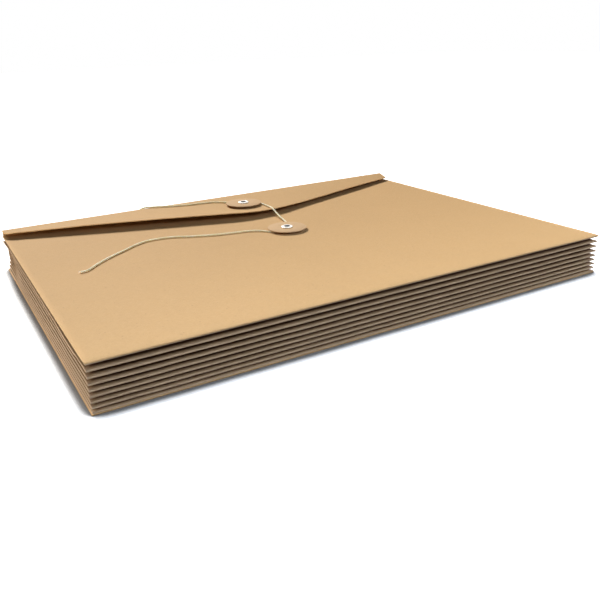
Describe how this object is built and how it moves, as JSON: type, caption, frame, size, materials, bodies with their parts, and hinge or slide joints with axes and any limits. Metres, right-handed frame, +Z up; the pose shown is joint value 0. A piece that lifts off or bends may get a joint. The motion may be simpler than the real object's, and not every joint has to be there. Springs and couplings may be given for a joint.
{
  "type": "expanding document envelope",
  "caption": "Flat-lying kraft card document envelope with a pleated gusset round three sides, a pointed flap and a string wound behind card buttons.",
  "frame": {"origin": "centre of the underside of the back panel, where the envelope rests", "axes": "+X along the long side, +Y from the closed long side towards the mouth and the flap's fold, +Z up from the back panel to the front panel"},
  "size_m": [0.335, 0.242, 0.033],
  "materials": {
    "kraft_card": "matte brown kraft",
    "kraft_paper": "matte brown kraft",
    "nickel": "satin nickel plate",
    "cotton": "twisted cotton"
  },
  "bodies": {
    "root": {"cover_sheet": "kraft_card", "front_panel": "kraft_card", "gusset": "kraft_paper", "flap_button": "kraft_card", "panel_button": "kraft_card", "flap_eyelet": "nickel", "panel_eyelet": "nickel", "string": "cotton"}
  },
  "joints": []
}
